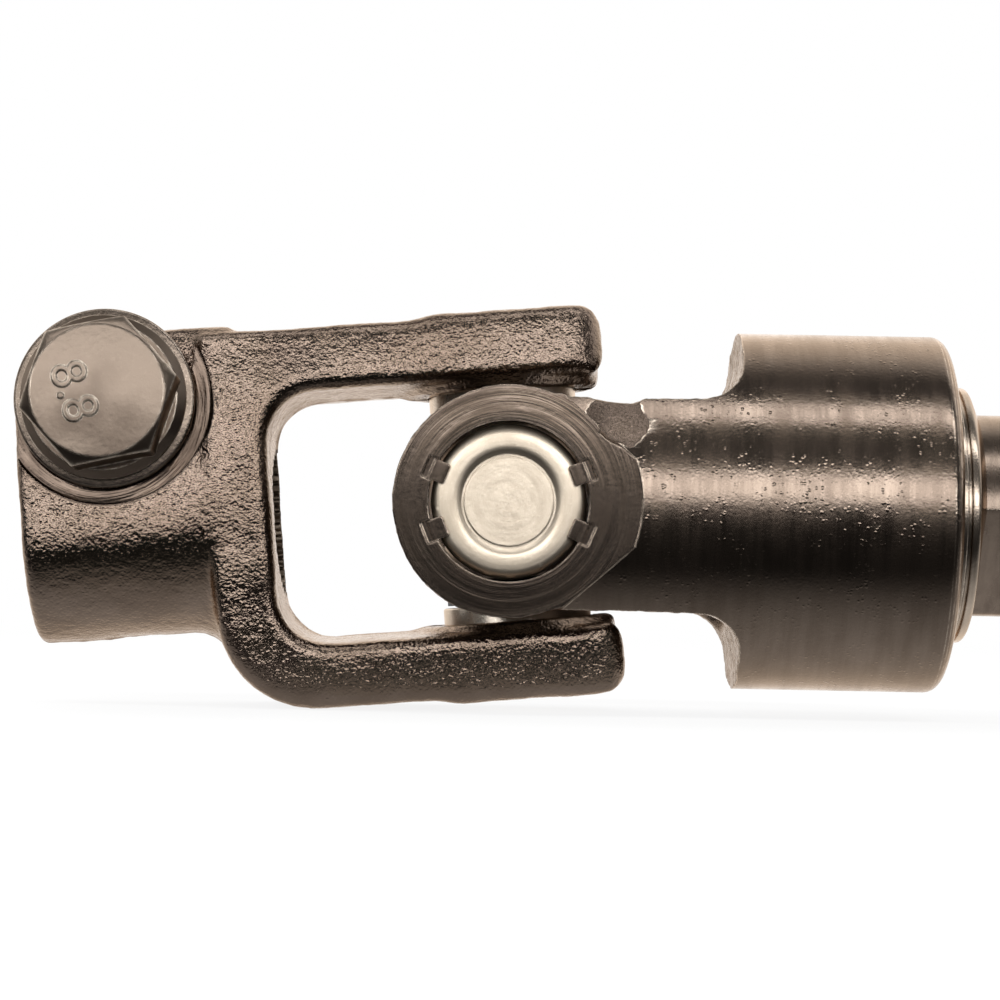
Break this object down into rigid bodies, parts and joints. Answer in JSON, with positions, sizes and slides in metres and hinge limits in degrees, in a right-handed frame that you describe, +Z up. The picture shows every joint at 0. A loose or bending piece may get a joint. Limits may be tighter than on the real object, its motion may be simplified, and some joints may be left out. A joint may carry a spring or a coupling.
{
  "type": "intermediate steering shaft",
  "caption": "Steering shaft with a universal joint and a split clamp yoke at each end, a rubber isolator in a round housing and a telescoping double-D slip tube.",
  "frame": {"origin": "centre of the bounding box's bottom face, under the middle of the shaft", "axes": "+X along the shaft, from the joint with the isolator housing to the far joint; +Z up, along the clamp yokes' cups; -Y faces the viewer of the picture, along the joint yokes' cups"},
  "size_m": [0.3512, 0.0466, 0.0516],
  "materials": {
    "black_paint": "black paint over shot-blasted forging, satin",
    "black_oxide": "black oxide over turned steel, semi-gloss",
    "bright_steel": "bare bright steel",
    "brown_steel": "phosphated steel, brown, satin",
    "dark_rubber": "matte",
    "pale_nylon": "matte"
  },
  "bodies": {
    "joint_housing": {"joint_yoke": "black_oxide", "isolator_rubber": "dark_rubber", "near_front_cup": "bright_steel", "near_front_needles": "bright_steel", "near_front_seal": "dark_rubber", "near_back_cup": "bright_steel", "near_back_needles": "bright_steel", "near_back_seal": "dark_rubber"},
    "near_cross": {"near_cross": "bright_steel"},
    "near_clamp": {"near_clamp_yoke": "black_paint", "near_pinch_bolt": "brown_steel", "near_pinch_bolt_washer": "brown_steel", "near_top_cup": "bright_steel", "near_top_needles": "bright_steel", "near_top_seal": "dark_rubber", "near_bottom_cup": "bright_steel", "near_bottom_needles": "bright_steel", "near_bottom_seal": "dark_rubber"},
    "tube": {"isolator_sleeve": "brown_steel", "retaining_ring": "bright_steel", "slip_tube": "brown_steel", "slider_bush": "pale_nylon", "tube_cap": "dark_rubber"},
    "slider": {"slider_shaft": "brown_steel", "far_joint_yoke": "black_oxide", "yoke_spring_pin": "brown_steel", "far_front_cup": "bright_steel", "far_front_needles": "bright_steel", "far_front_seal": "dark_rubber", "far_back_cup": "bright_steel", "far_back_needles": "bright_steel", "far_back_seal": "dark_rubber"},
    "far_cross": {"far_cross": "bright_steel"},
    "far_clamp": {"far_clamp_yoke": "black_paint", "far_pinch_bolt": "brown_steel", "far_pinch_bolt_washer": "brown_steel", "far_top_cup": "bright_steel", "far_top_needles": "bright_steel", "far_top_seal": "dark_rubber", "far_bottom_cup": "bright_steel", "far_bottom_needles": "bright_steel", "far_bottom_seal": "dark_rubber"}
  },
  "joints": [
    {"name": "near_yoke_bend", "type": "hinge", "parent": "joint_housing", "child": "near_cross", "pos_m": [-0.1125, 0, 0.02622], "axis": [0, 1, 0], "range_deg": [-19.9, 30.1]},
    {"name": "near_clamp_swing", "type": "hinge", "parent": "near_cross", "child": "near_clamp", "pos_m": [-0.1125, 0, 0.02622], "axis": [-0.0889, 0, 0.996], "range_deg": [-27.5, 22.5]},
    {"name": "isolator_twist", "type": "hinge", "parent": "joint_housing", "child": "tube", "pos_m": [-0.068, 0, 0.02622], "axis": [1, 0, 0], "range_deg": [-3, 3], "stiffness_Nm_per_rad": 30},
    {"name": "telescope", "type": "slide", "parent": "tube", "child": "slider", "axis": [1, 0, 0], "range_m": [-0.018, 0.02]},
    {"name": "far_yoke_bend", "type": "hinge", "parent": "slider", "child": "far_cross", "pos_m": [0.1125, 0, 0.02622], "axis": [0, 1, 0], "range_deg": [-30.1, 19.9]},
    {"name": "far_clamp_swing", "type": "hinge", "parent": "far_cross", "child": "far_clamp", "pos_m": [0.1125, 0, 0.02622], "axis": [0.0889, 0, 0.996], "range_deg": [-27.5, 22.5]}
  ]
}
